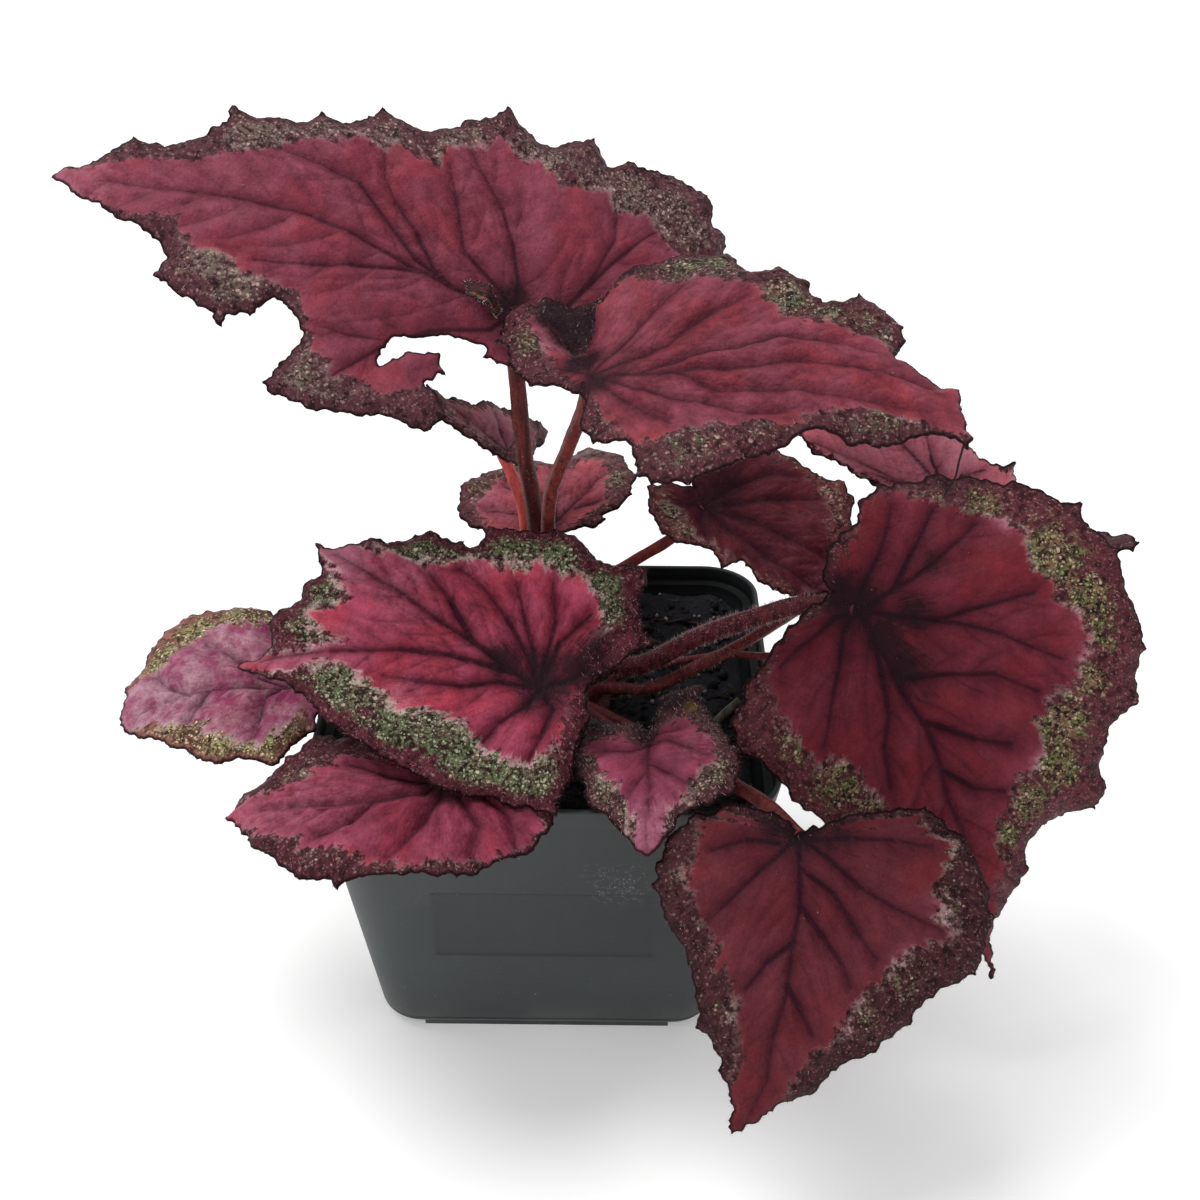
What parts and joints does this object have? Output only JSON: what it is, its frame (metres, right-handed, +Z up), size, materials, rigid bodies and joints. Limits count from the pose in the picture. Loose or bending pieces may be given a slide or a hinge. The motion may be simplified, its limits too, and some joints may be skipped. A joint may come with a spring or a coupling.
{
  "type": "potted rex begonia",
  "caption": "Rex begonia with crimson, green-speckled, dark-edged leaves on arching hairy stalks, growing in a tapered square plastic nursery pot.",
  "frame": {"origin": "middle of the pot's underside, on the surface that the pot stands on", "axes": "+Z up out of the pot; -Y towards the side of the pot with the bare label panel; +X to that side's right, towards the large drooping leaf"},
  "size_m": [0.23, 0.1563, 0.1946],
  "materials": {
    "pot_plastic": "matte moulded",
    "potting_mix": "damp, loose",
    "rhizome_bark": "rough",
    "red_blade": "satin, finely hairy",
    "silver_blade": "satin, finely hairy",
    "leaf_stalk": "satin",
    "hairy_stalk": "hairy",
    "dead_bract": "dry",
    "dead_stalk": "dry"
  },
  "bodies": {
    "root": {"nursery_pot": "pot_plastic", "potting_soil": "potting_mix", "rhizome": "rhizome_bark", "old_stalk_stub": "dead_stalk", "upper_left_leaf": "red_blade", "upper_left_stalk": "leaf_stalk", "upper_right_leaf": "red_blade", "upper_right_stalk": "leaf_stalk", "right_leaf": "red_blade", "right_stalk": "hairy_stalk", "front_leaf": "red_blade", "front_stalk": "leaf_stalk", "centre_leaf": "red_blade", "centre_stalk": "leaf_stalk", "silver_leaf": "silver_blade", "silver_stalk": "leaf_stalk", "lower_left_leaf": "red_blade", "lower_left_stalk": "leaf_stalk", "small_front_leaf": "red_blade", "small_front_stalk": "leaf_stalk", "shaded_leaf": "red_blade", "shaded_stalk": "leaf_stalk", "pale_leaf": "silver_blade", "pale_stalk": "leaf_stalk", "back_leaf": "red_blade", "back_stalk": "leaf_stalk", "folded_leaf": "red_blade", "folded_stalk": "leaf_stalk", "hidden_leaf": "red_blade", "hidden_stalk": "leaf_stalk", "dried_bract": "dead_bract"}
  },
  "joints": []
}
